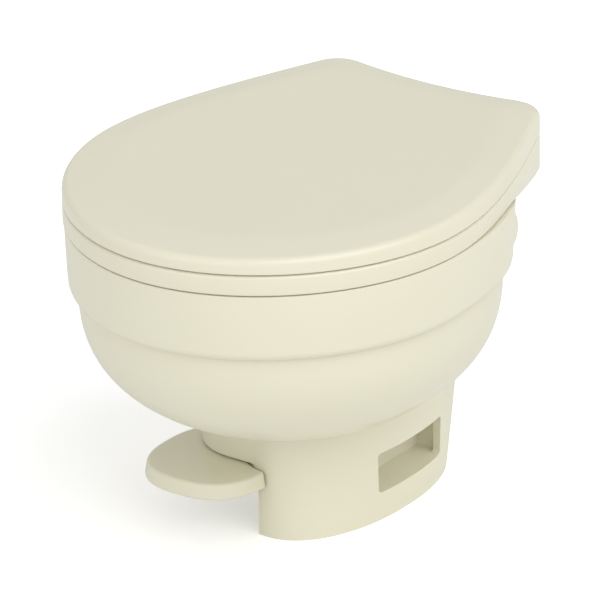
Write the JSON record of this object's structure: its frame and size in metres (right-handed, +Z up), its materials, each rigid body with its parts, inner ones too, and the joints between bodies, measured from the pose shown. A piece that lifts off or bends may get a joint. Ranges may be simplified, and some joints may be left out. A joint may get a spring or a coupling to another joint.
{
  "type": "rv toilet",
  "caption": "Low gravity-flush toilet with a hinged seat and lid, a half-moon foot pedal that turns a ball valve through gears, and an oval pedestal with side pockets.",
  "frame": {"origin": "middle of the footprint's bounding box, on the floor", "axes": "+Z up; the front of the toilet faces -Y and its hinge side +Y; +X is the side without the pedal"},
  "size_m": [0.398, 0.4736, 0.3724],
  "materials": {
    "bone_plastic": "satin gloss",
    "valve_plastic": "matt",
    "gear_plastic": "matt",
    "tube_plastic": "satin",
    "seal_rubber": "matt",
    "pin_steel": "brushed",
    "inlet_brass": "machined"
  },
  "bodies": {
    "toilet_body": {"base_shell": "bone_plastic", "rim_shell": "bone_plastic", "bowl_liner": "bone_plastic", "rear_housing": "bone_plastic", "housing_screw_left": "pin_steel", "housing_screw_right": "pin_steel", "body_screw_1": "pin_steel", "body_screw_2": "pin_steel", "body_screw_3": "pin_steel", "body_screw_4": "pin_steel", "hinge_post_left": "bone_plastic", "hinge_post_right": "bone_plastic", "hinge_bolt_left": "pin_steel", "hinge_bolt_right": "pin_steel", "gear_frame": "valve_plastic", "valve_housing": "valve_plastic", "shaft_bush": "seal_rubber", "ball_seal": "seal_rubber", "closet_seal": "seal_rubber", "water_valve_body": "valve_plastic", "supply_tube": "tube_plastic", "breaker_tube": "tube_plastic", "inlet_fitting": "inlet_brass", "inlet_nut": "tube_plastic", "vacuum_breaker_body": "valve_plastic", "vacuum_breaker_cap": "tube_plastic", "rinse_tube": "tube_plastic", "rinse_nozzle": "tube_plastic"},
    "seat_ring": {"seat": "bone_plastic", "seat_bumper_front_left": "seal_rubber", "seat_bumper_front_right": "seal_rubber", "seat_bumper_side_left": "seal_rubber", "seat_bumper_side_right": "seal_rubber", "seat_hinge_pin_left": "pin_steel", "seat_hinge_pin_right": "pin_steel"},
    "lid_cover": {"lid": "bone_plastic", "lid_bumper_left": "seal_rubber", "lid_bumper_right": "seal_rubber", "lid_hinge_pin_left": "pin_steel", "lid_hinge_pin_right": "pin_steel"},
    "pedal": {"foot_pedal": "bone_plastic", "pedal_lever": "gear_plastic", "lever_screw_1": "pin_steel", "lever_screw_2": "pin_steel", "pedal_shaft": "pin_steel", "return_spring": "pin_steel", "drive_sector": "gear_plastic"},
    "flush_ball": {"valve_ball": "tube_plastic", "ball_shaft": "pin_steel", "ball_rear_pin": "pin_steel", "pinion": "gear_plastic"},
    "water_plunger": {"valve_plunger": "gear_plastic"}
  },
  "joints": [
    {"name": "seat_hinge", "type": "hinge", "parent": "toilet_body", "child": "seat_ring", "pos_m": [0, 0.215, 0.329], "axis": [-1, 0, 0], "range_deg": [0, 95]},
    {"name": "lid_hinge", "type": "hinge", "parent": "seat_ring", "child": "lid_cover", "pos_m": [0, 0.226, 0.3583], "axis": [-1, 0, 0], "range_deg": [0, 95]},
    {"name": "pedal_hinge", "type": "hinge", "parent": "toilet_body", "child": "pedal", "pos_m": [0, 0, 0.058], "axis": [0, -1, 0], "range_deg": [0, 18], "stiffness_Nm_per_rad": 2, "springref_deg": -20.05},
    {"name": "ball_turn", "type": "hinge", "parent": "toilet_body", "child": "flush_ball", "pos_m": [0, 0.083, 0.112], "axis": [0, 1, 0], "range_deg": [0, 90]},
    {"name": "plunger_slide", "type": "slide", "parent": "toilet_body", "child": "water_plunger", "axis": [0, 0, 1], "range_m": [0, 0.0112]}
  ],
  "couplings": [
    {"joint": "ball_turn", "follows": "pedal_hinge", "ratio": 5},
    {"joint": "plunger_slide", "follows": "pedal_hinge", "m_per_rad": 0.0356}
  ]
}
